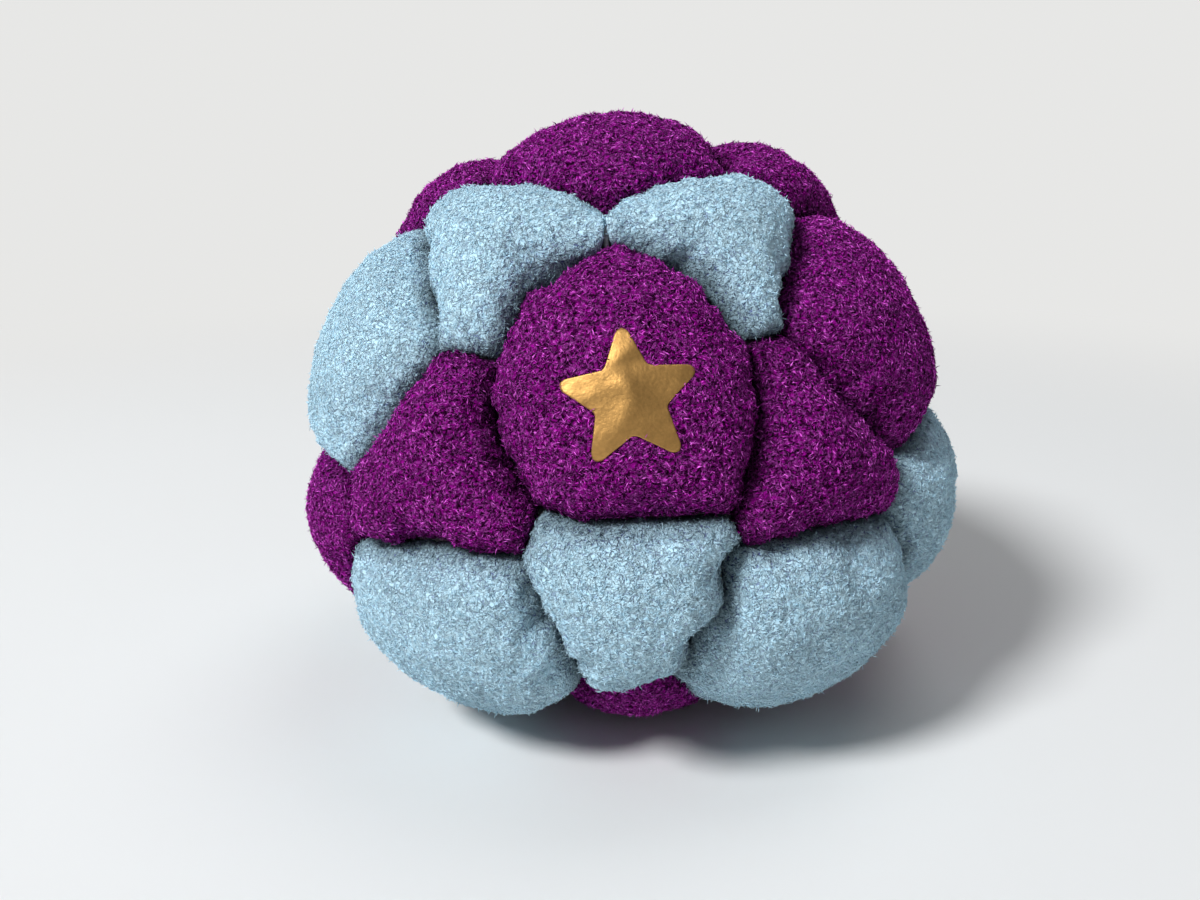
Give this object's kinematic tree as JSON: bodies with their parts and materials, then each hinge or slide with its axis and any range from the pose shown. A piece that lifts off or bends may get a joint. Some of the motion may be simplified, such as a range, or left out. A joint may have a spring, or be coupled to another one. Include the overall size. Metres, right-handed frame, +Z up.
{
  "type": "footbag",
  "caption": "Palm-sized stuffed footbag of puffed suede panels sewn edge to edge round a loose fill, settled on a flat underside.",
  "frame": {"origin": "on the surface the bag rests on, under the middle of its box", "axes": "+Z up, and the round front panel faces -Y"},
  "size_m": [0.0528, 0.0536, 0.046],
  "materials": {
    "purple_suede": "brushed synthetic suede with a short soft nap",
    "light_blue_suede": "brushed synthetic suede with a short soft nap",
    "gold_foil": "thin pressed gold foil, slightly crinkled",
    "seam_thread": "waxed sewing thread",
    "loose_fill": "loose pellets"
  },
  "bodies": {
    "root": {"top_panel": "purple_suede", "crown_panel_front_right": "light_blue_suede", "crown_panel_right": "purple_suede", "crown_panel_back": "light_blue_suede", "crown_panel_left": "purple_suede", "crown_panel_front_left": "light_blue_suede", "shoulder_panel_front": "purple_suede", "shoulder_panel_right": "purple_suede", "shoulder_panel_back_right": "light_blue_suede", "shoulder_panel_back_left": "purple_suede", "shoulder_panel_left": "light_blue_suede", "waist_panel_front_right": "purple_suede", "waist_panel_right": "light_blue_suede", "waist_panel_back": "purple_suede", "waist_panel_left": "light_blue_suede", "waist_panel_front_left": "purple_suede", "belly_panel_front": "light_blue_suede", "belly_panel_right": "light_blue_suede", "belly_panel_back_right": "purple_suede", "belly_panel_back_left": "purple_suede", "belly_panel_left": "purple_suede", "hip_panel_front_right": "light_blue_suede", "hip_panel_right": "purple_suede", "hip_panel_back": "light_blue_suede", "hip_panel_left": "light_blue_suede", "hip_panel_front_left": "light_blue_suede", "foot_panel_right": "purple_suede", "foot_panel_back_right": "light_blue_suede", "foot_panel_back_left": "purple_suede", "foot_panel_left": "light_blue_suede", "foot_panel_front": "purple_suede", "bottom_panel": "light_blue_suede", "seam_thread": "seam_thread", "loose_fill": "loose_fill"}
  },
  "joints": []
}
